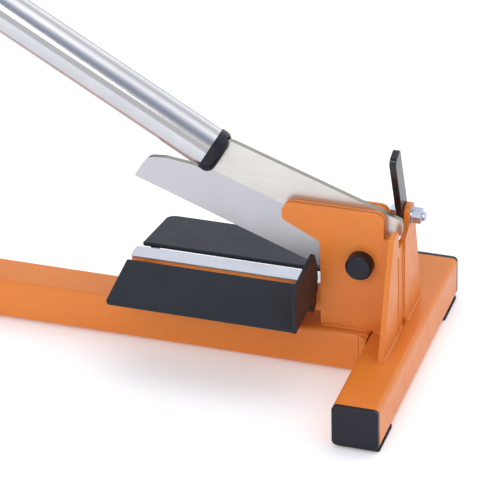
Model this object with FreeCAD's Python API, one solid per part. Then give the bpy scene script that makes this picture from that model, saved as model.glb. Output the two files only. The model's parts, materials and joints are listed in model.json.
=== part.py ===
import FreeCAD, Part
import math
import os

os.makedirs("parts", exist_ok=True)
V = FreeCAD.Vector

# Mitre guillotine, millimetres, +Z up.
# Drawn with its origin on the underside of the long base beam, straight below the blade pivot;
# every piece is then moved by SHIFT, so that the saved origin is the middle of the footprint, on the floor.
# +X runs along the beam from the table to the tower, -Y is the operator's side.
FOOT_T = 3.0           # rubber feet under the tubes
SHIFT = V(252.0, 0.0, FOOT_T)

# ---------------------------------------------------------------- dimensions
TUBE = 40.0            # square tube, outside
TUBE_WALL = 3.0
TUBE_R = 4.5           # outside corner radius
BEAM_X0 = -549.9       # free end of the long beam, without its cap
CROSS_X0 = 8.5         # near face of the cross beam
CROSS_W = 42.4         # width of the cross beam along x
CROSS_HALF = 131.0     # half length of the cross beam, without its caps
CAP_T = 5.0            # visible flange of a tube cap
CAP_PLUG = 14.0        # depth of a cap's plug inside the tube

PIVOT_Z = 110.0        # blade pivot above the floor, at x = 0
PIVOT_R = 6.0
PIVOT_CLEAR = 0.05

CHEEK_IN, CHEEK_OUT = 8.0, 11.0       # outer cheek plates, distance from the blade plane
GUIDE_IN, GUIDE_OUT = 2.7, 6.5        # inner guide plates
TOWER_TOP = 161.0

BLADE_T = 5.0
OPEN_ANGLE = 20.9      # blade edge to horizontal as stored
EDGE_DROP = 27.6       # blade edge line below the pivot

STRIP_TOP = 82.0
STRIP_T = 1.6
STRIP_Y0, STRIP_Y1 = -9.5, 8.0
STRIP_X0, STRIP_X1 = -218.0, -38.1

TILT = 9.5             # slope of the table leaves as stored
LEAF_T = 4.0
LEAF_X0 = -220.0
FRONT_AXIS = (-17.0, 64.0)            # y, z of the front leaf's hinge
REAR_AXIS = (17.0, 64.0)
FENCE_H = 45.0

HANDLE_R = 19.6
HANDLE_WALL = 1.8
HANDLE_LEN = 455.0
HANDLE_ANGLE = 30.5    # handle axis to horizontal as stored

LEVER_AXIS = (30.0, 142.0)            # y, z of the catch lever's bolt
LEVER_TILT = 20.1


# ------------------------------------------------------------------- helpers
def save(shape, name):
    shape = shape.copy()
    shape.translate(SHIFT)
    if not shape.isValid():
        print("INVALID", name)
    shape.exportStep("parts/%s.step" % name)
    bb = shape.BoundBox
    print("%-22s solids %d  x %.1f..%.1f  y %.1f..%.1f  z %.1f..%.1f  vol %.0f" % (
        name, len(shape.Solids), bb.XMin, bb.XMax, bb.YMin, bb.YMax, bb.ZMin, bb.ZMax, shape.Volume))


def rounded(points):
    """2-D outline with rounded corners: points are (a, b, radius)."""
    n = len(points)
    pieces = []
    ends = []
    for i in range(n):
        a, b, r = points[i]
        pa, pb, _ = points[i - 1]
        na, nb, _ = points[(i + 1) % n]
        if r <= 0:
            ends.append(((a, b), None, (a, b)))
            continue
        ua, ub = pa - a, pb - b
        wa, wb = na - a, nb - b
        lu, lw = math.hypot(ua, ub), math.hypot(wa, wb)
        ua, ub, wa, wb = ua / lu, ub / lu, wa / lw, wb / lw
        half = math.acos(max(-1.0, min(1.0, ua * wa + ub * wb))) / 2.0
        d = r / math.tan(half)
        h = r / math.sin(half)
        ba, bb = ua + wa, ub + wb
        lb = math.hypot(ba, bb)
        ca, cb = a + ba / lb * h, b + bb / lb * h
        ma, mb = a + ba / lb * (h - r), b + bb / lb * (h - r)
        ends.append(((a + ua * d, b + ub * d), (ma, mb), (a + wa * d, b + wb * d)))
    return ends


def prism(points, plane, lo, hi):
    """Extrude a rounded outline. plane 'xz' along Y, 'yz' along X, 'xy' along Z."""
    def p3(q):
        if plane == "xz":
            return V(q[0], lo, q[1])
        if plane == "yz":
            return V(lo, q[0], q[1])
        return V(q[0], q[1], lo)
    ends = rounded([(p + (0,))[:3] if len(p) == 2 else p for p in points])
    edges = []
    n = len(ends)
    for i in range(n):
        start, mid, stop = ends[i]
        if mid is not None:
            edges.append(Part.Arc(p3(start), p3(mid), p3(stop)).toShape())
        nxt = ends[(i + 1) % n][0]
        if math.hypot(nxt[0] - stop[0], nxt[1] - stop[1]) > 1e-6:
            edges.append(Part.LineSegment(p3(stop), p3(nxt)).toShape())
    face = Part.Face(Part.Wire(edges))
    d = {"xz": V(0, hi - lo, 0), "yz": V(hi - lo, 0, 0), "xy": V(0, 0, hi - lo)}[plane]
    return face.extrude(d)


def box(x0, x1, y0, y1, z0, z1):
    return Part.makeBox(x1 - x0, y1 - y0, z1 - z0, V(x0, y0, z0))


def cyl_y(r, y0, y1, x, z):
    return Part.makeCylinder(r, y1 - y0, V(x, y0, z), V(0, 1, 0))


def cyl_x(r, x0, x1, y, z):
    return Part.makeCylinder(r, x1 - x0, V(x0, y, z), V(1, 0, 0))


def hexa(af, base, axis, height, turn=0.0):
    """Hexagonal prism across flats af, from base along axis, with a turned chamfer."""
    axis = V(*axis)
    rr = af / math.sqrt(3.0)
    ref = V(0, 0, 1) if abs(axis.z) < 0.9 else V(1, 0, 0)
    side = axis.cross(ref)
    side.normalize()
    up = side.cross(axis)
    up.normalize()
    pts = []
    for k in range(7):
        t = math.radians(60 * k + turn)
        pts.append(V(*base) + side * (rr * math.cos(t)) + up * (rr * math.sin(t)))
    body = Part.Face(Part.makePolygon(pts)).extrude(axis * height)
    return body.common(Part.makeCone(af * 0.5 * 0.98 + height * 1.6, af * 0.5 * 0.98, height, V(*base), axis))


def soft(shape, r, pick):
    """Fillet the edges that pick() accepts; return the shape unchanged if that fails."""
    edges = [e for e in shape.Edges if pick(e)]
    if not edges:
        return shape
    try:
        out = shape.makeFillet(r, edges)
        if out.isValid() and out.Volume > 0:
            return out
    except Exception:
        pass
    return shape


def rot_x(shape, deg, y, z):
    s = shape.copy()
    s.rotate(V(0, y, z), V(1, 0, 0), deg)
    return s


# --------------------------------------------------------------- base frame
def tube_section(half, r, inset):
    return [(-half + inset, inset, max(r - inset, 0.6)), (half - inset, inset, max(r - inset, 0.6)),
            (half - inset, 2 * half - inset, max(r - inset, 0.6)), (-half + inset, 2 * half - inset, max(r - inset, 0.6))]


H = TUBE / 2.0
beam = prism(tube_section(H, TUBE_R, 0), "yz", BEAM_X0, CROSS_X0)
beam = beam.cut(prism(tube_section(H, TUBE_R, TUBE_WALL), "yz", BEAM_X0 - 1, CROSS_X0 + 1))
# small vent hole left in the seam of the two tubes, beside the tower
VENT = Part.makeCylinder(2.1, 8.0, V(8.6, -14.8, 34.0))
save(beam.cut(VENT), "base_beam")

CX = CROSS_X0 + CROSS_W / 2.0
CH = CROSS_W / 2.0
def cross_sec(inset):
    r = max(TUBE_R - inset, 0.6)
    return [(CX - CH + inset, inset, r), (CX + CH - inset, inset, r), (CX + CH - inset, TUBE - inset, r), (CX - CH + inset, TUBE - inset, r)]

cross = prism(cross_sec(0), "xz", -CROSS_HALF, CROSS_HALF)
cross = cross.cut(prism(cross_sec(TUBE_WALL), "xz", -CROSS_HALF - 1, CROSS_HALF + 1))
save(cross.cut(VENT), "cross_beam")

# push-in caps: a flange as large as the tube and a hollow ribbed plug
def cap_y(sign):
    y_in, y_out = sign * CROSS_HALF, sign * (CROSS_HALF + CAP_T)
    lo, hi = min(y_in, y_out), max(y_in, y_out)
    fl = prism(cross_sec(0), "xz", lo, hi)
    fl = soft(fl, 1.2, lambda e: abs(e.BoundBox.YMin - y_out) < 1e-3 and abs(e.BoundBox.YMax - y_out) < 1e-3)
    p0, p1 = sorted((y_in, y_in - sign * CAP_PLUG))
    plug = prism(cross_sec(TUBE_WALL + 0.15), "xz", p0, p1)
    q0, q1 = sorted((y_in, y_in - sign * (CAP_PLUG + 1)))
    plug = plug.cut(prism(cross_sec(TUBE_WALL + 2.4), "xz", q0, q1))
    return fl.fuse(plug)

save(cap_y(1), "cross_cap_rear")
save(cap_y(-1), "cross_cap_front")

fl = prism(tube_section(H, TUBE_R, 0), "yz", BEAM_X0 - CAP_T, BEAM_X0)
fl = soft(fl, 1.2, lambda e: abs(e.BoundBox.XMin - (BEAM_X0 - CAP_T)) < 1e-3 and abs(e.BoundBox.XMax - (BEAM_X0 - CAP_T)) < 1e-3)
plug = prism(tube_section(H, TUBE_R, TUBE_WALL + 0.15), "yz", BEAM_X0, BEAM_X0 + CAP_PLUG)
plug = plug.cut(prism(tube_section(H, TUBE_R, TUBE_WALL + 2.4), "yz", BEAM_X0, BEAM_X0 + CAP_PLUG + 1))
save(fl.fuse(plug), "beam_cap")

# rubber feet: one strip under each end of the cross beam, one under the long beam's free end
def foot(x0, x1, y0, y1):
    f = prism([(x0, y0, 2.5), (x1, y0, 2.5), (x1, y1, 2.5), (x0, y1, 2.5)], "xy", -FOOT_T, 0.0)
    return soft(f, 0.6, lambda e: abs(e.BoundBox.ZMax + FOOT_T) < 1e-3)

save(foot(CROSS_X0 + 3.0, CROSS_X0 + CROSS_W, CROSS_HALF - 41.0, CROSS_HALF + 1.0), "cross_foot_rear")
save(foot(CROSS_X0 + 3.0, CROSS_X0 + CROSS_W, -CROSS_HALF - 1.0, -CROSS_HALF + 41.0), "cross_foot_front")
save(foot(BEAM_X0 + 2.0, BEAM_X0 + 47.0, -19.0, 19.0), "beam_foot")

# -------------------------------------------------------------------- tower
TX0, TX1 = -37.8, 28.4
NOTCH_X, NOTCH_Z = 20.5, 136.5
cheek_outline = [
    (TX0, TUBE, 0), (TX0, 125.5, 5), (-73.0, 144.0, 5), (-73.0, TOWER_TOP, 10),
    (NOTCH_X, TOWER_TOP, 8), (NOTCH_X, NOTCH_Z, 1.5), (TX1, NOTCH_Z, 2), (TX1, TUBE, 0)]


def cheek(y0, y1, hole_r):
    s = prism(cheek_outline, "xz", y0, y1)
    return s.cut(cyl_y(hole_r, y0 - 1, y1 + 1, 0, PIVOT_Z))

save(cheek(-CHEEK_OUT, -CHEEK_IN, PIVOT_R + 0.3), "front_cheek")
save(cheek(CHEEK_IN, CHEEK_OUT, PIVOT_R + 0.3), "rear_cheek")
save(cheek(-GUIDE_OUT, -GUIDE_IN, PIVOT_R + 0.3), "front_guide_plate")
save(cheek(GUIDE_IN, GUIDE_OUT, PIVOT_R + 0.3), "rear_guide_plate")

# welded gussets across the cross beam, one each side of the blade slot
GX0, GX1 = 30.0, 35.0          # rear gusset
FX0, FX1 = 28.5, 33.5          # front gusset
front_gusset = prism([(-58.5, TUBE, 0), (-8.0, TUBE, 0), (-8.0, 145.5, 1.5), (-23.3, 145.5, 2.5)], "yz", FX0, FX1)
save(front_gusset, "front_gusset")
rear_gusset = prism([(8.0, TUBE, 0), (8.0, 128.0, 3), (21.0, 136.0, 4), (21.0, 153.0, 6), (37.0, 153.0, 7), (63.0, TUBE, 0)], "yz", GX0, GX1)
rear_gusset = rear_gusset.cut(cyl_x(4.2, GX0 - 1, GX1 + 1, *LEVER_AXIS))
# vent hole left beside the end plate
rear_gusset = rear_gusset.cut(cyl_x(2.1, GX0 - 1, GX1 + 1, 9.9, 43.4))
save(rear_gusset, "rear_gusset")
save(box(30.0, 33.0, -7.9, 7.9, TUBE, 126.5), "tower_end_plate")

# ------------------------------------------------------------- blade pivot
bolt = cyl_y(PIVOT_R, -CHEEK_OUT, 18.6, 0, PIVOT_Z)
bolt = bolt.fuse(hexa(19.0, (0, -CHEEK_OUT, PIVOT_Z), (0, -1, 0), 7.0))
bolt = soft(bolt, 0.8, lambda e: abs(e.BoundBox.YMin - 18.6) < 1e-3)
save(bolt, "pivot_bolt")
nut = hexa(19.0, (0, CHEEK_OUT, PIVOT_Z), (0, 1, 0), 7.0).cut(cyl_y(PIVOT_R + 0.02, 0, 30, 0, PIVOT_Z))
save(nut, "pivot_nut")


def pivot_cap(sign):
    y0 = sign * CHEEK_OUT
    y1 = sign * (CHEEK_OUT + 11.0)
    lo, hi = min(y0, y1), max(y0, y1)
    c = cyl_y(12.25, lo, hi, 0, PIVOT_Z)
    c = soft(c, 2.4, lambda e: abs(e.BoundBox.YMin - y1) < 1e-3 and abs(e.BoundBox.YMax - y1) < 1e-3)
    p0, p1 = sorted((y0, sign * (CHEEK_OUT + 8.0)))
    return c.cut(cyl_y(11.1, p0, p1, 0, PIVOT_Z))

save(pivot_cap(-1), "pivot_cap_front")
save(pivot_cap(1), "pivot_cap_rear")
w1 = cyl_y(12.0, -CHEEK_IN, -GUIDE_OUT, 0, PIVOT_Z).cut(cyl_y(PIVOT_R + 0.3, -20, 20, 0, PIVOT_Z))
w2 = cyl_y(12.0, GUIDE_OUT, CHEEK_IN, 0, PIVOT_Z).cut(cyl_y(PIVOT_R + 0.3, -20, 20, 0, PIVOT_Z))
save(Part.makeCompound([w1, w2]), "pivot_spacers")

# -------------------------------------------------------------------- blade
ca, sa = math.cos(math.radians(OPEN_ANGLE)), math.sin(math.radians(OPEN_ANGLE))


def edge_pt(s):
    """Point on the cutting edge, s mm left of the foot of the pivot's normal."""
    fx, fz = -EDGE_DROP * sa, PIVOT_Z - EDGE_DROP * ca
    return fx - s * ca, fz + s * sa


tip = edge_pt(217.5)
heel = edge_pt(-2.0)
ha = math.radians(HANDLE_ANGLE)
HU = (-math.cos(ha), math.sin(ha))        # along the handle, away from the blade
HN = (math.sin(ha), math.cos(ha))         # across it, upwards
HA = (-141.5, 199.6)                      # handle axis where the tube starts


def hp(u, n):
    return HA[0] + HU[0] * u + HN[0] * n, HA[1] + HU[1] * u + HN[1] * n


TANG_W = 13.0
blade_outline = [
    (tip[0], tip[1], 1.0),
    (-207.0, 172.5, 9),
    (-198.5, 183.0, 10),
    (-183.0, 184.4, 8),
    (-142.0, 179.0, 0),
    hp(-7.0, -TANG_W) + (3,),
    hp(66.0, -TANG_W) + (3,),
    hp(66.0, TANG_W) + (3,),
    hp(-7.0, TANG_W) + (0,),
    hp(-7.0, 16.6) + (0,),
    (-119.3, 209.6, 2),
    (34.7, 153.2, 3),
    (34.7, 138.0, 4),
    (25.0, 137.0, 3),
    (24.0, 97.0, 18),
    (heel[0], heel[1], 14)]
blade = prism(blade_outline, "xz", -BLADE_T / 2, BLADE_T / 2)
# ground bevel along the cutting edge, on the rear face only, down to a 0.35 mm land at the front face
BEV = 9.0
LAND = -BLADE_T / 2 + 0.35
k = (BLADE_T / 2 - LAND) / BEV
e0 = edge_pt(240.0)


def bev_pt(up, y):
    return V(e0[0] + sa * up, y, e0[1] + ca * up)


tri = Part.Face(Part.makePolygon([bev_pt(BEV, BLADE_T / 2), bev_pt(-0.07, LAND - k * 0.07), bev_pt(-1.0, LAND - k * 0.07), bev_pt(-1.0, 5.0), bev_pt(BEV, 5.0), bev_pt(BEV, BLADE_T / 2)]))
blade = blade.cut(tri.extrude(V(ca * 220.0, 0, -sa * 220.0)))
blade = blade.cut(cyl_y(9.0, -5, 5, 0, PIVOT_Z))
for u in (24.0, 48.0):
    hx, hz = hp(u, 0)
    blade = blade.cut(cyl_y(2.5, -5, 5, hx, hz))
save(blade, "blade")
bush = cyl_y(9.0, -BLADE_T / 2, BLADE_T / 2, 0, PIVOT_Z).cut(cyl_y(PIVOT_R + PIVOT_CLEAR, -5, 5, 0, PIVOT_Z))
save(bush, "blade_bush")

# ------------------------------------------------------------------- handle
def along(r, u0, u1):
    p = hp(u0, 0)
    return Part.makeCylinder(r, u1 - u0, V(p[0], 0, p[1]), V(HU[0], 0, HU[1]))


tube = along(HANDLE_R, 0, HANDLE_LEN).cut(along(HANDLE_R - HANDLE_WALL, -1, HANDLE_LEN + 1))
save(tube, "handle_tube")


def slot_prism(u0, u1, n, t):
    a, b, c, d = hp(u0, -n), hp(u1, -n), hp(u1, n), hp(u0, n)
    return prism([a + (0,), b + (0,), c + (0,), d + (0,)], "xz", -t, t)


collar = along(HANDLE_R + 0.6, -13.0, 0)
collar = soft(collar, 8.0, lambda e: e.Closed and abs((e.BoundBox.Center - V(hp(-13, 0)[0], 0, hp(-13, 0)[1])).Length) < 0.5)
socket = collar.fuse(along(HANDLE_R - HANDLE_WALL - 0.05, 0, 70.0))
# slot for the tang, with a little play all round
socket = socket.cut(slot_prism(-20.0, 66.5, TANG_W + 0.2, BLADE_T / 2 + 0.1))
wide = prism([(-165.0, 176.0, 0), (-100.0, 150.0, 0), (-100.0, 217.0, 0), hp(-17.0, 19.5) + (0,), hp(-6.5, 19.5) + (0,), hp(-6.5, -TANG_W - 8.0) + (0,)], "xz", -BLADE_T / 2 - 0.1, BLADE_T / 2 + 0.1)
socket = socket.cut(wide)
for u in (24.0, 48.0):
    hx, hz = hp(u, 0)
    socket = socket.cut(cyl_y(2.5, -25, 25, hx, hz))
save(socket, "handle_socket")
pins = []
for u in (24.0, 48.0):
    hx, hz = hp(u, 0)
    pins.append(cyl_y(2.5, -14.0, 14.0, hx, hz))
save(Part.makeCompound(pins), "tang_pins")
endcap = along(HANDLE_R + 0.6, HANDLE_LEN, HANDLE_LEN + 13.0)
endcap = soft(endcap, 8.0, lambda e: e.Closed and abs((e.BoundBox.Center - V(hp(HANDLE_LEN + 13, 0)[0], 0, hp(HANDLE_LEN + 13, 0)[1])).Length) < 0.5)
inner = along(HANDLE_R - HANDLE_WALL - 0.05, HANDLE_LEN - 30.0, HANDLE_LEN).cut(along(HANDLE_R - HANDLE_WALL - 2.5, HANDLE_LEN - 31.0, HANDLE_LEN))
save(endcap.fuse(inner), "handle_end_cap")

# -------------------------------------------------------------- catch lever
LX0, LX1 = 23.1, 29.4
ly, lz = LEVER_AXIS
lever = prism([(ly - 8.6, lz - 9.0, 8.4), (ly + 8.6, lz - 9.0, 8.4), (ly + 8.6, lz + 77.6, 3.5), (ly - 8.6, lz + 77.6, 6.0)], "yz", LX0, LX1)
lever = lever.cut(cyl_x(4.05, LX0 - 1, LX1 + 1, ly, lz))
lever = soft(lever, 0.8, lambda e: e.Length > 40 and abs(e.BoundBox.XMax - e.BoundBox.XMin) < 1e-3)
lever = rot_x(lever, LEVER_TILT, ly, lz)
save(lever, "catch_lever")
lb = cyl_x(4.0, LX0 - 1.7, 47.8, ly, lz).fuse(hexa(13.0, (LX0 - 1.7, ly, lz), (-1, 0, 0), 5.6, 15))
lb = soft(lb, 0.6, lambda e: abs(e.BoundBox.XMin - 47.8) < 1e-3)
save(lb, "catch_bolt")
washers = [cyl_x(8.0, LX0 - 1.7, LX0 - 0.1, ly, lz).cut(cyl_x(4.2, 0, 60, ly, lz)),
           cyl_x(8.0, GX1, GX1 + 1.6, ly, lz).cut(cyl_x(4.2, 0, 60, ly, lz))]
save(Part.makeCompound(washers), "catch_washers")
lock_nut = hexa(13.0, (GX1 + 1.6, ly, lz), (1, 0, 0), 8.0, 15).cut(cyl_x(4.02, 0, 60, ly, lz))
save(lock_nut, "catch_nut")

# ---------------------------------------------------------- anvil and rail
strip = box(STRIP_X0, STRIP_X1, STRIP_Y0, STRIP_Y1, STRIP_TOP - STRIP_T, STRIP_TOP)
strip = soft(strip, 3.0, lambda e: abs(e.BoundBox.XMax - STRIP_X0) < 1e-3 and e.BoundBox.ZMax - e.BoundBox.ZMin > 1.2)
strip = soft(strip, 0.5, lambda e: abs(e.BoundBox.ZMin - STRIP_TOP) < 1e-3 and e.BoundBox.XMin < STRIP_X1 - 0.5)
save(strip, "anvil_strip")
RAIL_Z0, RAIL_Z1 = 52.0, STRIP_TOP - STRIP_T
rail = box(STRIP_X0 + 1.0, STRIP_X1, -8.8, 7.6, RAIL_Z0, RAIL_Z1)
rail = soft(rail, 1.5, lambda e: e.Length > 100)
save(rail, "anvil_rail")
save(Part.makeCompound([box(-196.0, -172.0, -8.0, 7.0, TUBE, RAIL_Z0), box(-84.0, -60.0, -8.0, 7.0, TUBE, RAIL_Z0)]), "rail_posts")

# hinge brackets on the rail's sides and the hinge screws they carry
BR_R = 9.0


def bracket(x0, x1, sign, rail_face):
    ay, az = (FRONT_AXIS if sign < 0 else REAR_AXIS)
    c = cyl_x(BR_R, x0, x1, ay, az)
    lo, hi = sorted((ay, rail_face))
    web = box(x0, x1, lo, hi, az - BR_R, az + BR_R)
    b = c.fuse(web).removeSplitter().cut(cyl_x(4.0, x0 - 1, x1 + 1, ay, az))
    beyond = box(x0 - 1, x1 + 1, rail_face, 20.0, az - 20, az + 20) if sign < 0 else box(x0 - 1, x1 + 1, -20.0, rail_face, az - 20, az + 20)
    return b.cut(beyond)


LUG_L = (-206.0, -202.0)
BRK_L = (-201.6, -196.6)
LUG_R = (-62.0, -58.0)
BRK_R = (-57.6, -52.6)
save(Part.makeCompound([bracket(BRK_L[0], BRK_L[1], -1, -8.8), bracket(BRK_R[0], BRK_R[1], -1, -8.8)]), "front_hinge_brackets")
save(Part.makeCompound([bracket(BRK_L[0], BRK_L[1], 1, 7.6), bracket(BRK_R[0], BRK_R[1], 1, 7.6)]), "rear_hinge_brackets")


def hinge_screw_left(axis):
    ay, az = axis
    s = cyl_x(4.0, LUG_L[0] - 0.3, BRK_L[1] + 3.0, ay, az)
    return s.fuse(hexa(13.0, (LUG_L[0] - 0.3, ay, az), (-1, 0, 0), 5.3))


def hinge_screw_right(axis):
    ay, az = axis
    s = cyl_x(4.0, LUG_R[0] - 0.3, BRK_R[1] + 6.0, ay, az)
    return s.fuse(hexa(13.0, (LUG_R[0] - 0.3, ay, az), (-1, 0, 0), 5.3))

save(Part.makeCompound([hinge_screw_left(FRONT_AXIS), hinge_screw_right(FRONT_AXIS)]), "front_hinge_screws")
save(Part.makeCompound([hinge_screw_left(REAR_AXIS), hinge_screw_right(REAR_AXIS)]), "rear_hinge_screws")


def knob(axis):
    ay, az = axis
    x0, x1 = BRK_R[1] + 0.4, BRK_R[1] + 10.4
    k = cyl_x(7.9, x0, x1, ay, az)
    for i in range(8):
        t = math.radians(45 * i)
        k = k.cut(cyl_x(1.3, x0 + 2.0, x1 + 1, ay + 8.5 * math.cos(t), az + 8.5 * math.sin(t)))
    k = soft(k, 1.0, lambda e: abs(e.BoundBox.XMin - x1) < 1e-3)
    return k.cut(cyl_x(4.05, x0 - 1, BRK_R[1] + 6.4, ay, az))

save(knob(FRONT_AXIS), "front_clamp_knob")
save(knob(REAR_AXIS), "rear_clamp_knob")

# ------------------------------------------------------------- table leaves
# Each leaf is drawn level and then swung down by TILT about its hinge axis.
def lug(x0, x1, axis, top):
    ay, az = axis
    return prism([(ay - 7.4, az - 7.4, 7.3), (ay + 7.4, az - 7.4, 7.3), (ay + 7.4, top, 0), (ay - 7.4, top, 0)], "yz", x0, x1).cut(
        cyl_x(4.05, x0 - 1, x1 + 1, ay, az))


FY, FZ = FRONT_AXIS
FT = FZ + 15.1                 # top of the front leaf when level
FR_REAR = FY + 6.4             # its rear edge when level
FR_FRONT = -71.5
FENCE_X0, FENCE_X1 = -45.4, -42.0
leaf = prism([(LEAF_X0, FR_REAR, 2.0), (LEAF_X0, FR_FRONT, 4.0), (FENCE_X1, FR_FRONT, 3.0), (FENCE_X1, FR_REAR, 1.0)], "xy", FT - LEAF_T, FT)
leaf = soft(leaf, 1.3, lambda e: abs(e.BoundBox.YMax - FR_FRONT) < 1e-3 and e.Length > 100)
fence = prism([(FR_FRONT, FT - LEAF_T, 0), (FR_REAR, FT - LEAF_T, 0), (FR_REAR, 84.5, 1.0), (-8.4, 87.5, 1.5),
               (-8.4, 105.9, 6.0), (-13.1, 119.6, 2.5), (-67.0, 118.8, 2.0)], "yz", FENCE_X0, FENCE_X1)
fence.rotate(V(FENCE_X1, FR_FRONT, 0), V(0, 0, 1), -2.2)
leaf = leaf.fuse(fence)
leaf = soft(leaf, 1.2, lambda e: abs(e.BoundBox.XMin - FENCE_X0) < 1e-3 and abs(e.BoundBox.XMax - FENCE_X0) < 1e-3 and abs(e.BoundBox.ZMin - FT) < 1e-3 and abs(e.BoundBox.ZMax - FT) < 1e-3)
front_leaf = rot_x(leaf, TILT, FY, FZ)
save(front_leaf, "front_table_leaf")
f_lugs = [rot_x(lug(LUG_L[0], LUG_L[1], FRONT_AXIS, FT - LEAF_T), TILT, FY, FZ), rot_x(lug(LUG_R[0], LUG_R[1], FRONT_AXIS, FT - LEAF_T), TILT, FY, FZ)]
save(Part.makeCompound(f_lugs), "front_leaf_lugs")

RY, RZ = REAR_AXIS
RT = RZ + 18.9
RR_FRONT = RY - 8.2
RR_BACK = 83.0
rleaf = prism([(-213.7, RR_FRONT, 2.0), (-213.7, RR_BACK, 9.0), (-40.6, RR_BACK, 4.0), (-40.6, RR_FRONT, 1.0)], "xy", RT - LEAF_T, RT)
rleaf = soft(rleaf, 1.3, lambda e: abs(e.BoundBox.YMax - RR_FRONT) < 1e-3 and e.Length > 100)
rear_leaf = rot_x(rleaf, -TILT, RY, RZ)
save(rear_leaf, "rear_table_leaf")
r_lugs = [rot_x(lug(LUG_L[0], LUG_L[1], REAR_AXIS, RT - LEAF_T), -TILT, RY, RZ), rot_x(lug(LUG_R[0], LUG_R[1], REAR_AXIS, RT - LEAF_T), -TILT, RY, RZ)]
save(Part.makeCompound(r_lugs), "rear_leaf_lugs")
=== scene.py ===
import bpy
import bmesh
import json
import math
from mathutils import Matrix, Vector, noise


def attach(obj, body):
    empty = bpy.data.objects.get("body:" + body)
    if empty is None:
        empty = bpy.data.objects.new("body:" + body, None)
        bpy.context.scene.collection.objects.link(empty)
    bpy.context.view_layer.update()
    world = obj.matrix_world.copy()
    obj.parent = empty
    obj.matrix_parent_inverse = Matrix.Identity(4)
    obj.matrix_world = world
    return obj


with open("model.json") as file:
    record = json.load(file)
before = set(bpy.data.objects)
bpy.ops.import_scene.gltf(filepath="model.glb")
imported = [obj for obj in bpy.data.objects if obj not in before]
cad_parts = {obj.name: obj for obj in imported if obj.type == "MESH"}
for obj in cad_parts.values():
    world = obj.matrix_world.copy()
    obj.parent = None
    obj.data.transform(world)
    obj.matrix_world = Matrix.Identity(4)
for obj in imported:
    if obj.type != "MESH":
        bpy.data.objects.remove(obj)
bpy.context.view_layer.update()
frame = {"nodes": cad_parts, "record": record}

# millimetres in the drawing's own frame (origin under the blade pivot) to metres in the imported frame
SHIFT = (252.0, 0.0, 3.0)


def P(x, y, z):
    return Vector(((x + SHIFT[0]) / 1000.0, (y + SHIFT[1]) / 1000.0, (z + SHIFT[2]) / 1000.0))


# ------------------------------------------------------------------- camera
AZ, EL, ROLL, FOCAL_PX, FRAME_PX = 18.543, 30.856, -1.4336, 3250.7, 490.0
a, e, r = (math.radians(v) for v in (AZ, EL, ROLL))
back = Vector((math.sin(a) * math.cos(e), -math.cos(a) * math.cos(e), math.sin(e)))
right = Vector((math.cos(a), math.sin(a), 0.0))
up = back.cross(right)
cx = right * math.cos(r) + up * math.sin(r)
cy = up * math.cos(r) - right * math.sin(r)
cam_data = bpy.data.cameras.new("camera")
cam = bpy.data.objects.new("camera", cam_data)
bpy.context.scene.collection.objects.link(cam)
rot = Matrix((cx, cy, back)).transposed()
cam.matrix_world = Matrix.Translation(P(683.579, -2370.043, 1597.637)) @ rot.to_4x4()
cam_data.sensor_fit = "HORIZONTAL"
cam_data.sensor_width = 36.0
cam_data.lens = FOCAL_PX / FRAME_PX * 36.0
cam_data.clip_start = 0.1
cam_data.clip_end = 60.0
bpy.context.scene.camera = cam

# ------------------------------------------------------------------- studio
scene = bpy.context.scene
scene.view_settings.view_transform = "Standard"
scene.view_settings.look = "None"
scene.view_settings.exposure = 0.0
scene.view_settings.gamma = 1.0

world = bpy.data.worlds.new("studio")
scene.world = world
world.use_nodes = True
wn, wl = world.node_tree.nodes, world.node_tree.links
wn.clear()
out = wn.new("ShaderNodeOutputWorld")
bg = wn.new("ShaderNodeBackground")
tc = wn.new("ShaderNodeTexCoord")
# bands of light run round an axis that points up and behind the object
lean = wn.new("ShaderNodeVectorMath")
lean.operation = "DOT_PRODUCT"
lean.inputs[1].default_value = (0.423, 0.612, 0.668)
ramp = wn.new("ShaderNodeValToRGB")
mapr = wn.new("ShaderNodeMapRange")
mapr.inputs["From Min"].default_value = -1.0
mapr.inputs["From Max"].default_value = 1.0
wl.new(tc.outputs["Generated"], lean.inputs[0])
wl.new(lean.outputs["Value"], mapr.inputs["Value"])
wl.new(mapr.outputs["Result"], ramp.inputs["Fac"])
cr = ramp.color_ramp
cr.elements[0].position, cr.elements[0].color = 0.0, (0.80, 0.80, 0.80, 1)
cr.elements[1].position, cr.elements[1].color = 1.0, (1.05, 1.06, 1.10, 1)
for pos, col in ((0.20, (1.0, 1.0, 1.0, 1)), (0.33, (0.96, 0.96, 0.96, 1)), (0.41, (1.04, 1.02, 1.02, 1)), (0.50, (0.92, 0.92, 0.94, 1)),
                 (0.58, (0.54, 0.56, 0.64, 1)), (0.69, (0.50, 0.55, 0.70, 1)), (0.775, (0.74, 0.80, 0.94, 1)), (0.85, (1.22, 1.26, 1.34, 1)),
                 (0.915, (1.85, 1.85, 1.88, 1)), (0.965, (1.72, 1.72, 1.72, 1)), (0.99, (1.25, 1.26, 1.32, 1))):
    el = cr.elements.new(pos)
    el.color = col
bg.inputs["Strength"].default_value = 0.86
wl.new(ramp.outputs["Color"], bg.inputs["Color"])
wl.new(bg.outputs["Background"], out.inputs["Surface"])


def area(name, loc, target, size, size_y, power, color=(1, 1, 1)):
    d = bpy.data.lights.new(name, "AREA")
    d.shape = "RECTANGLE"
    d.size, d.size_y = size, size_y
    d.energy = power
    d.color = color
    o = bpy.data.objects.new(name, d)
    scene.collection.objects.link(o)
    o.location = loc
    o.rotation_mode = "QUATERNION"
    o.rotation_quaternion = (Vector(target) - Vector(loc)).to_track_quat("-Z", "Y")
    return o


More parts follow.
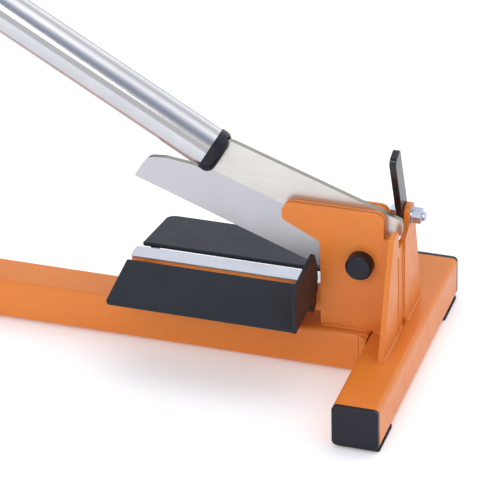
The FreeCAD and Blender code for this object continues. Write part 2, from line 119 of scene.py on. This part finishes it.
area("key", (-0.1, -2.1, 1.9), (0.05, 0, 0.1), 1.6, 1.3, 22.0)
area("fill", (2.2, -0.7, 1.3), (0.1, 0, 0.12), 1.2, 1.2, 0.6, (0.98, 0.98, 1.0))
area("top", (0.0, 0.3, 2.6), (0.05, 0, 0.1), 2.4, 1.6, 3.0)

# floor
bm = bmesh.new()
bmesh.ops.create_grid(bm, x_segments=60, y_segments=60, size=6.0)
me = bpy.data.meshes.new("floor")
bm.to_mesh(me)
bm.free()
floor = bpy.data.objects.new("floor", me)
scene.collection.objects.link(floor)
floor.location.z = -0.0002


# ---------------------------------------------------------------- materials
def new_mat(name):
    m = bpy.data.materials.new(name)
    m.use_nodes = True
    m.node_tree.nodes.clear()
    nt = m.node_tree
    o = nt.nodes.new("ShaderNodeOutputMaterial")
    b = nt.nodes.new("ShaderNodeBsdfPrincipled")
    nt.links.new(b.outputs[0], o.inputs["Surface"])
    return m, nt, b


def coords(nt, scale=(1, 1, 1), rot=(0, 0, 0), loc=(0, 0, 0)):
    t = nt.nodes.new("ShaderNodeTexCoord")
    mp = nt.nodes.new("ShaderNodeMapping")
    mp.inputs["Scale"].default_value = scale
    mp.inputs["Rotation"].default_value = rot
    mp.inputs["Location"].default_value = loc
    nt.links.new(t.outputs["Object"], mp.inputs["Vector"])
    return mp.outputs["Vector"]


def tex(nt, vec, scale, detail=3.0, rough=0.5):
    n = nt.nodes.new("ShaderNodeTexNoise")
    n.inputs["Scale"].default_value = scale
    n.inputs["Detail"].default_value = detail
    n.inputs["Roughness"].default_value = rough
    nt.links.new(vec, n.inputs["Vector"])
    return n.outputs["Fac"]


def mapped(nt, fac, lo, hi, fmin=0.3, fmax=0.7):
    m = nt.nodes.new("ShaderNodeMapRange")
    m.inputs["From Min"].default_value = fmin
    m.inputs["From Max"].default_value = fmax
    m.inputs["To Min"].default_value = lo
    m.inputs["To Max"].default_value = hi
    nt.links.new(fac, m.inputs["Value"])
    return m.outputs["Result"]


def mixc(nt, fac, c1, c2):
    m = nt.nodes.new("ShaderNodeMix")
    m.data_type = "RGBA"
    if isinstance(fac, float):
        m.inputs[0].default_value = fac
    else:
        nt.links.new(fac, m.inputs[0])
    for idx, c in ((6, c1), (7, c2)):
        if isinstance(c, tuple):
            m.inputs[idx].default_value = c if len(c) == 4 else c + (1,)
        else:
            nt.links.new(c, m.inputs[idx])
    return m.outputs[2]


def bump(nt, b, height, strength, dist):
    n = nt.nodes.new("ShaderNodeBump")
    n.inputs["Strength"].default_value = strength
    n.inputs["Distance"].default_value = dist
    nt.links.new(height, n.inputs["Height"])
    nt.links.new(n.outputs["Normal"], b.inputs["Normal"])


def srgb(r, g, b):
    def f(v):
        v /= 255.0
        return v / 12.92 if v <= 0.04045 else ((v + 0.055) / 1.055) ** 2.4
    return (f(r), f(g), f(b), 1.0)


def paint(name, c1, c2, r_lo, r_hi, coat=0.0, coat_r=0.1, peel=0.00004, mottle=9.0, spec=0.5):
    """Sprayed or powder-coated paint: slow colour drift, fine orange peel, slightly uneven gloss."""
    m, nt, b = new_mat(name)
    v = coords(nt)
    big = tex(nt, v, mottle, 4.0, 0.55)
    fine = tex(nt, v, 420.0, 2.0, 0.5)
    grime = tex(nt, v, 46.0, 6.0, 0.65)
    base = mixc(nt, mapped(nt, big, 0.0, 1.0), c1, c2)
    darker = mixc(nt, mapped(nt, grime, 0.0, 0.16, 0.52, 0.78), base, tuple(v * 0.55 for v in c1[:3]) + (1,))
    nt.links.new(darker, b.inputs["Base Color"])
    nt.links.new(mapped(nt, grime, r_lo, r_hi), b.inputs["Roughness"])
    b.inputs["Specular IOR Level"].default_value = spec
    b.inputs["Coat Weight"].default_value = coat
    b.inputs["Coat Roughness"].default_value = coat_r
    bump(nt, b, fine, 0.35, peel)
    return m


def metal(name, c1, c2, r_lo, r_hi, along=(1, 0, 0), stretch=60.0, aniso=0.0, bump_d=0.00001, fine=900.0):
    """Bare metal with fine parallel grinding or drawing marks along one direction."""
    m, nt, b = new_mat(name)
    sc = [fine, fine, fine]
    k = max(range(3), key=lambda i: abs(along[i]))
    sc[k] = fine / stretch
    ang = math.atan2(along[2], along[0]) if k != 1 else 0.0
    v = coords(nt, scale=tuple(sc), rot=(0, ang, 0))
    lines = tex(nt, v, 1.0, 3.0, 0.6)
    v2 = coords(nt)
    blot = tex(nt, v2, 22.0, 5.0, 0.6)
    c = mixc(nt, mapped(nt, blot, 0.0, 1.0), c1, c2)
    c = mixc(nt, mapped(nt, lines, 0.0, 0.25), c, tuple(x * 0.72 for x in c1[:3]) + (1,))
    nt.links.new(c, b.inputs["Base Color"])
    b.inputs["Metallic"].default_value = 1.0
    add = nt.nodes.new("ShaderNodeMath")
    add.operation = "ADD"
    nt.links.new(mapped(nt, blot, r_lo, r_hi), add.inputs[0])
    nt.links.new(mapped(nt, lines, -0.03, 0.03), add.inputs[1])
    nt.links.new(add.outputs[0], b.inputs["Roughness"])
    b.inputs["Anisotropic"].default_value = aniso
    bump(nt, b, lines, 0.3, bump_d)
    return m, nt, b, c


M = {}
M["frame_paint"] = paint("frame_paint", srgb(220, 127, 50), srgb(214, 119, 44), 0.32, 0.44, coat=0.10, coat_r=0.14, spec=0.32)
M["cap_plastic"] = paint("cap_plastic", srgb(16, 17, 29), srgb(21, 22, 34), 0.30, 0.44, peel=0.00003, mottle=30.0, spec=0.32)
M["table_paint"] = paint("table_paint", srgb(32, 36, 43), srgb(37, 41, 49), 0.34, 0.44, coat=0.03, coat_r=0.16, spec=0.14)
M["lever_paint"] = paint("lever_paint", srgb(12, 14, 20), srgb(18, 19, 25), 0.2, 0.3, coat=0.2, coat_r=0.1, spec=0.35)
M["rubber"] = paint("rubber", srgb(26, 26, 28), srgb(34, 34, 36), 0.7, 0.85, peel=0.00006, mottle=60.0, spec=0.3)
M["zinc"] = metal("zinc", srgb(196, 202, 214), srgb(180, 188, 204), 0.22, 0.34)[0]
M["bronze"] = metal("bronze", srgb(178, 136, 80), srgb(160, 118, 64), 0.28, 0.4, along=(0, 1, 0))[0]
M["anvil"] = metal("anvil", srgb(206, 208, 215), srgb(196, 199, 208), 0.34, 0.46, along=(1, 0, 0), stretch=90.0)[0]
ha = math.radians(30.5)
M["tube_chrome"] = metal("tube_chrome", srgb(204, 204, 206), srgb(192, 193, 197), 0.10, 0.16, along=(-math.cos(ha), 0, math.sin(ha)), stretch=120.0, bump_d=0.0000012)[0]

# blade: ground lower zone painted darker than the lighter upper zone, partly its own ground finish and partly painted
# shade of the edge bevel; the line between them parallel to the edge
ob = math.radians(20.9)
bm_, bnt, bb, bcol = metal("blade_steel", srgb(218, 214, 208), srgb(210, 206, 201), 0.30, 0.40, along=(-math.cos(ob), 0, math.sin(ob)), stretch=70.0)
t = bnt.nodes.new("ShaderNodeTexCoord")
dot = bnt.nodes.new("ShaderNodeVectorMath")
dot.operation = "DOT_PRODUCT"
sa_, ca_ = math.sin(ob), math.cos(ob)
dot.inputs[1].default_value = (sa_, 0.0, ca_)
bnt.links.new(t.outputs["Object"], dot.inputs[0])
edge = P(-27.6 * sa_, 0, 110 - 27.6 * ca_)
off = edge.x * sa_ + edge.z * ca_
# the lower zone's darker tone is partly painted shade of the edge bevel, laid on the flat face as colour
ground_and_shade_zone = mapped(bnt, dot.outputs["Value"], 1.0, 0.0, off + 0.0420, off + 0.0428)
zoned = mixc(bnt, ground_and_shade_zone, bcol, srgb(192, 191, 195))
# the narrow sheared edges are darker than the ground faces
sepn = bnt.nodes.new("ShaderNodeSeparateXYZ")
bnt.links.new(t.outputs["Normal"], sepn.inputs[0])
absn = bnt.nodes.new("ShaderNodeMath")
absn.operation = "ABSOLUTE"
bnt.links.new(sepn.outputs["Y"], absn.inputs[0])
rim = mapped(bnt, absn.outputs[0], 1.0, 0.0, 0.25, 0.6)
zoned = mixc(bnt, rim, zoned, srgb(140, 140, 130))
bnt.links.new(zoned, bb.inputs["Base Color"])
M["blade_steel"] = bm_

# floor
fm, fnt, fb = new_mat("floor_paper")
fv = coords(fnt)
fb.inputs["Roughness"].default_value = 0.9
fb.inputs["Emission Color"].default_value = (1, 1, 1, 1)
fb.inputs["Emission Strength"].default_value = 0.15
fnt.links.new(mixc(fnt, mapped(fnt, tex(fnt, fv, 3.0), 0.0, 1.0), (0.955, 0.955, 0.955, 1), (0.975, 0.975, 0.975, 1)), fb.inputs["Base Color"])
floor.data.materials.append(fm)

slot_of = {s["node"]: s["material_slot"] for s in frame["record"]["subparts"]}
for n, o in frame["nodes"].items():
    m = M[slot_of[n]]
    if not o.data.materials:
        o.data.materials.append(m)
    for i in range(len(o.material_slots)):
        o.material_slots[i].material = m


# ------------------------------------------------------------- weld beads
def weld(name, p0, p1, nrm, rad=1.7, pitch=2.2, body="frame", mat="frame_paint", seed=0):
    """A run of overlapping weld ripples from p0 to p1 in a corner; nrm points out of the corner."""
    p0, p1, nrm = P(*p0), P(*p1), Vector(nrm).normalized()
    d = p1 - p0
    length = d.length
    d.normalize()
    side = d.cross(nrm).normalized()
    ppr = 9
    n = max(8, int(length * 1000.0 / pitch * ppr))
    bmw = bmesh.new()
    rings = []
    seg = 12
    for i in range(n + 1):
        s = i / n
        ph = (i % ppr) / ppr
        ripple = 0.86 + 0.14 * math.sin(math.pi * ph) ** 0.7
        wob = noise.noise(Vector((s * length * 160.0 + seed * 7.3, seed * 1.7, 0.3)))
        end = min(1.0, min(s, 1 - s) * length * 1000.0 / 2.2)
        rr = rad / 1000.0 * ripple * (1 + 0.12 * wob) * (math.sqrt(max(0.0, 1 - (1 - end) ** 2)) * 0.92 + 0.08)
        c = p0 + d * (s * length) + side * (wob * 0.00018)
        ring = []
        for k in range(seg):
            t_ = 2 * math.pi * k / seg
            ring.append(bmw.verts.new(c + side * (math.cos(t_) * rr) + nrm * (math.sin(t_) * rr * 0.72)))
        rings.append(ring)
    for i in range(n):
        for k in range(seg):
            bmw.faces.new((rings[i][k], rings[i][(k + 1) % seg], rings[i + 1][(k + 1) % seg], rings[i + 1][k]))
    bmw.faces.new(list(reversed(rings[0])))
    bmw.faces.new(rings[-1])
    bmesh.ops.recalc_face_normals(bmw, faces=bmw.faces)
    mw = bpy.data.meshes.new(name)
    bmw.to_mesh(mw)
    bmw.free()
    for p in mw.polygons:
        p.use_smooth = True
    o = bpy.data.objects.new(name, mw)
    scene.collection.objects.link(o)
    o.data.materials.append(M[mat])
    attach(o, body)
    return o


def fillet(name, x, y, sy, leg=9.0, z0=2.5, z1=39.6):
    """A dressed upright weld that fills the corner of the two tubes: a shallow hollow face with slow ripples."""
    bmw = bmesh.new()
    nz, na = 60, 12
    rings = []
    for i in range(nz + 1):
        t = i / nz
        z = z0 + (z1 - z0) * t
        tip = min(1.0, min(t, 1 - t) * (z1 - z0) / 1.5)
        ease = 0.9 + 0.1 * math.sqrt(max(0.0, 1 - (1 - tip) ** 2))
        ring = [bmw.verts.new(P(x + 0.1, y - sy * 0.1, z))]
        for k in range(na + 1):
            u = k / na
            wob = noise.noise(Vector((t * 9.0, u * 2.0, 4.1 if sy > 0 else 1.3)))
            sag = math.sin(math.pi * u) * (1.3 + 0.25 * math.sin(t * 74.0 + u) + 0.35 * wob)
            lx, ly = leg * ease * (1 - u), leg * ease * u
            nx_, ny_ = 0.7071 * sag * (1 if u < 1 else 0), 0.7071 * sag
            ring.append(bmw.verts.new(P(x - lx + nx_ * (1 if lx > 0 else 0), y + sy * (ly - ny_ + 0.02), z)))
        rings.append(ring)
    n = len(rings[0])
    for i in range(nz):
        for k in range(n):
            bmw.faces.new((rings[i][k], rings[i][(k + 1) % n], rings[i + 1][(k + 1) % n], rings[i + 1][k]))
    bmw.faces.new(list(reversed(rings[0])))
    bmw.faces.new(rings[-1])
    bmesh.ops.recalc_face_normals(bmw, faces=bmw.faces)
    mw = bpy.data.meshes.new(name)
    bmw.to_mesh(mw)
    bmw.free()
    for p in mw.polygons:
        p.use_smooth = len(p.vertices) == 4
    o = bpy.data.objects.new(name, mw)
    scene.collection.objects.link(o)
    o.data.materials.append(M["frame_paint"])
    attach(o, "frame")
    return o


Z = 40.0
# tower plates to the long tube
weld("weld_cheek_front", (-36.5, -11.2, Z + 0.2), (5.5, -11.2, Z + 0.2), (0, -1, 1), seed=1)
weld("weld_cheek_rear", (-36.5, 11.2, Z + 0.2), (5.5, 11.2, Z + 0.2), (0, 1, 1), seed=2)
weld("weld_cheek_front_b", (12.0, -11.2, Z + 0.2), (27.5, -11.2, Z + 0.2), (0, -1, 1), rad=1.5, seed=3)
weld("weld_cheek_rear_b", (12.0, 11.2, Z + 0.2), (27.5, 11.2, Z + 0.2), (0, 1, 1), rad=1.5, seed=4)
# gussets to the cross tube, both faces
weld("weld_gusset_front_out", (33.7, -57.5, Z + 0.2), (33.7, -9.5, Z + 0.2), (1, 0, 1), seed=5)
weld("weld_gusset_front_in", (28.3, -57.5, Z + 0.2), (28.3, -13.0, Z + 0.2), (-1, 0, 1), seed=6)
weld("weld_gusset_rear_out", (35.2, 13.5, Z + 0.2), (35.2, 62.0, Z + 0.2), (1, 0, 1), seed=7)
weld("weld_gusset_rear_in", (29.8, 13.0, Z + 0.2), (29.8, 62.0, Z + 0.2), (-1, 0, 1), seed=8)
# gussets to the cheeks, upright
weld("weld_upright_front", (28.3, -11.3, 48.0), (28.3, -11.3, 136.0), (-1, -1, 0), rad=1.4, seed=9)
weld("weld_upright_rear", (29.2, 11.3, 48.0), (29.2, 11.3, 126.0), (-1, 1, 0), rad=1.7, seed=10)
weld("weld_end_plate", (33.2, -7.0, Z + 0.2), (33.2, 6.0, Z + 0.2), (1, 0, 1), rad=1.3, seed=11)
# end plate to the gussets, upright
weld("weld_slot_front", (33.1, -8.0, 43.0), (33.1, -8.0, 120.0), (1, 1, 0), rad=1.5, seed=15)
weld("weld_slot_rear", (33.1, 8.0, 47.5), (33.1, 8.0, 120.0), (1, -1, 0), rad=1.7, seed=16)
# long tube to cross tube
fillet("fillet_tubes_front", 8.5, -20.0, -1)
fillet("fillet_tubes_rear", 8.5, 20.0, 1)
# rail posts
for k, (x0, x1) in enumerate(((-196.0, -172.0), (-84.0, -60.0))):
    weld("weld_post_front_%d" % k, (x0 + 1, -8.2, Z + 0.2), (x1 - 1, -8.2, Z + 0.2), (0, -1, 1), rad=1.3, seed=20 + k)
    weld("weld_post_rear_%d" % k, (x0 + 1, 7.2, Z + 0.2), (x1 - 1, 7.2, Z + 0.2), (0, 1, 1), rad=1.3, seed=24 + k)
